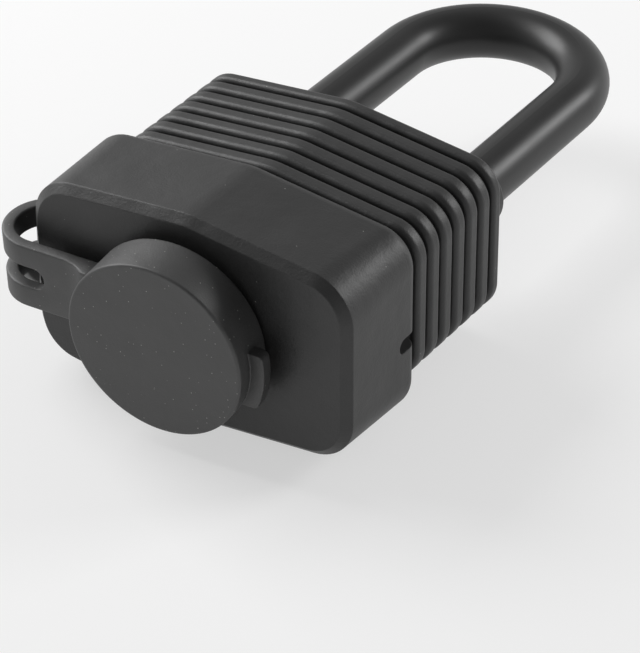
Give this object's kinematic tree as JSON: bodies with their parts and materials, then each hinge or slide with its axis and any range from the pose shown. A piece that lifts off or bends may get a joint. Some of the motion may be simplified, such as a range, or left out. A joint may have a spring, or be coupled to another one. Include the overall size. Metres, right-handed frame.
{
  "type": "padlock",
  "caption": "Laminated padlock in a black weather jacket with a ribbed upper cover, a smooth lower cover, a tall round shackle and a strapped dust cap over the keyway.",
  "frame": {"origin": "middle of the keyway, where the plug's axis meets the lower cover's key face", "axes": "+Y along the plug towards the shackle, +X across the body towards the shackle's short leg, +Z out of the front face; the lock lies on its back"},
  "size_m": [0.055, 0.1011, 0.032],
  "materials": {
    "jacket_vinyl": "matte moulded black vinyl",
    "cap_rubber": "soft matte black rubber",
    "black_coated_steel": "satin black coating",
    "zinc_plated_steel": "zinc plated",
    "hardened_steel": "bare, lightly oiled",
    "spring_steel": "drawn wire",
    "brass": "turned"
  },
  "bodies": {
    "root": {"lower_cover": "jacket_vinyl", "upper_cover": "jacket_vinyl", "heel_seal": "jacket_vinyl", "toe_seal": "jacket_vinyl", "cap_strap": "cap_rubber", "bottom_plate": "zinc_plated_steel", "lamination_02": "zinc_plated_steel", "lamination_03": "zinc_plated_steel", "lamination_04": "zinc_plated_steel", "lamination_05": "zinc_plated_steel", "lamination_06": "zinc_plated_steel", "lamination_07": "zinc_plated_steel", "lamination_08": "zinc_plated_steel", "lamination_09": "zinc_plated_steel", "lamination_10": "zinc_plated_steel", "lamination_11": "zinc_plated_steel", "lamination_12": "zinc_plated_steel", "lamination_13": "zinc_plated_steel", "top_plate": "zinc_plated_steel", "rivets": "hardened_steel", "retaining_pin": "hardened_steel", "shackle_spring": "spring_steel", "lever_spring": "spring_steel", "cylinder_shell": "brass", "pin_cover": "brass", "driver_pins": "brass", "pin_springs": "spring_steel"},
    "shackle": {"shackle": "black_coated_steel"},
    "plug": {"cylinder_plug": "brass", "key_pins": "brass", "plug_clip": "spring_steel", "drive_cam": "hardened_steel"},
    "lever": {"locking_lever": "hardened_steel"},
    "cap": {"dust_cap": "cap_rubber"}
  },
  "joints": [
    {"name": "shackle_lift", "type": "slide", "parent": "root", "child": "shackle", "axis": [0, 1, 0], "range_m": [0, 0.0176], "deforming": ["shackle_spring"]},
    {"name": "plug_turn", "type": "hinge", "parent": "root", "child": "plug", "pos_m": [0, 0, 0], "axis": [0, 1, 0], "range_deg": [0, 90]},
    {"name": "lever_slide", "type": "slide", "parent": "root", "child": "lever", "axis": [1, 0, 0], "range_m": [0, 0.0023], "deforming": ["lever_spring"]},
    {"name": "cap_open", "type": "hinge", "parent": "root", "child": "cap", "pos_m": [-0.0275, -0.001, 0], "axis": [0, 0, -1], "range_deg": [0, 135], "deforming": ["cap_strap"]}
  ],
  "couplings": [
    {"joint": "lever_slide", "follows": "plug_turn", "m_per_rad": 0.0014405}
  ]
}
